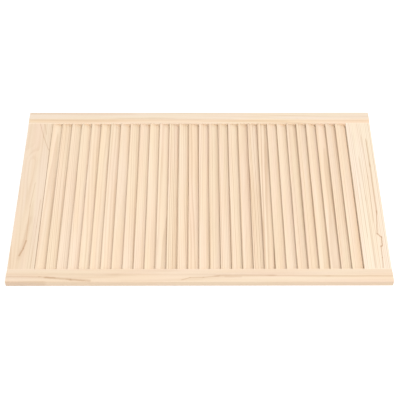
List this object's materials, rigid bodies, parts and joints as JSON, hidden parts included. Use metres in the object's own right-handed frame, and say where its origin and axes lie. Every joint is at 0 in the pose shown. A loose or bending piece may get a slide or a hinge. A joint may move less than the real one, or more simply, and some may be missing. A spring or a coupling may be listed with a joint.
{
  "type": "louvred door",
  "caption": "Fixed-louvre cabinet door in pale softwood: long stiles, short recessed rails and tilted overlapping slats with rounded edges.",
  "frame": {"origin": "centre of the flat back face, so the door lies on its back on Z = 0", "axes": "+X along the stiles towards the top end of the hung door, +Y across the door towards the left stile, +Z out of the front face"},
  "size_m": [0.993, 0.594, 0.018],
  "materials": {
    "stile": "planed, unfinished pine",
    "rail": "planed, unfinished pine",
    "slat": "planed, unfinished pine",
    "dowel": "plain beech"
  },
  "bodies": {
    "root": {"left_stile": "stile", "right_stile": "stile", "bottom_rail": "rail", "top_rail": "rail", "slat_01": "slat", "slat_02": "slat", "slat_03": "slat", "slat_04": "slat", "slat_05": "slat", "slat_06": "slat", "slat_07": "slat", "slat_08": "slat", "slat_09": "slat", "slat_10": "slat", "slat_11": "slat", "slat_12": "slat", "slat_13": "slat", "slat_14": "slat", "slat_15": "slat", "slat_16": "slat", "slat_17": "slat", "slat_18": "slat", "slat_19": "slat", "slat_20": "slat", "slat_21": "slat", "slat_22": "slat", "slat_23": "slat", "slat_24": "slat", "slat_25": "slat", "slat_26": "slat", "slat_27": "slat", "slat_28": "slat", "slat_29": "slat", "slat_30": "slat", "dowel_1": "dowel", "dowel_2": "dowel", "dowel_3": "dowel", "dowel_4": "dowel", "dowel_5": "dowel", "dowel_6": "dowel", "dowel_7": "dowel", "dowel_8": "dowel"}
  },
  "joints": []
}
